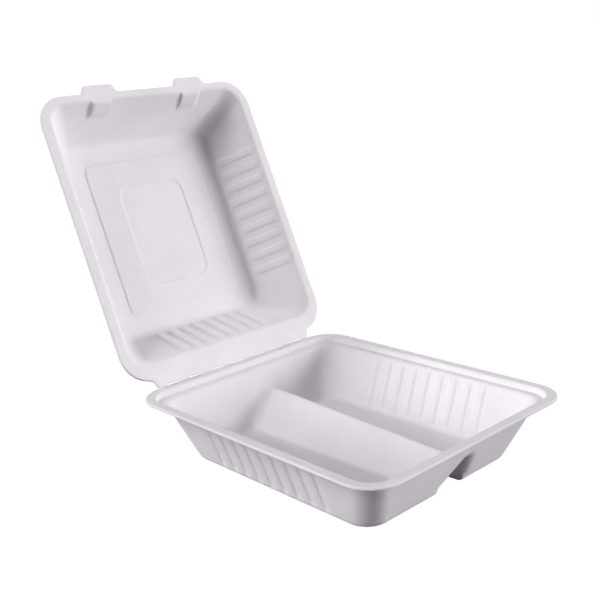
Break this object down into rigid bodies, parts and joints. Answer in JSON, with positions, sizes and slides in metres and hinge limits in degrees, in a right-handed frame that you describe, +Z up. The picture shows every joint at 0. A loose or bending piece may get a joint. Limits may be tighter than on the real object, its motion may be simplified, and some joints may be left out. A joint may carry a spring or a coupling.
{
  "type": "sugarcane meal box",
  "caption": "Moulded pulp takeaway box: a shallow ribbed tray in two compartments with a deep hinged lid, standing open.",
  "frame": {"origin": "on the table, under the middle of the whole object's box, with the lid open as in the picture", "axes": "+X along the fold to the right as seen from the front, +Y from the front edge towards the fold, +Z up"},
  "size_m": [0.21, 0.3602, 0.2741],
  "materials": {
    "pulp": "matte moulded bagasse pulp with fine fibres"
  },
  "bodies": {
    "tray": {"tray": "pulp"},
    "lid": {"lid": "pulp"}
  },
  "joints": [
    {"name": "lid_hinge", "type": "hinge", "parent": "tray", "child": "lid", "pos_m": [0, 0.05994, 0.04815], "axis": [1, 0, 0], "range_deg": [-66.35, 113.65]}
  ]
}
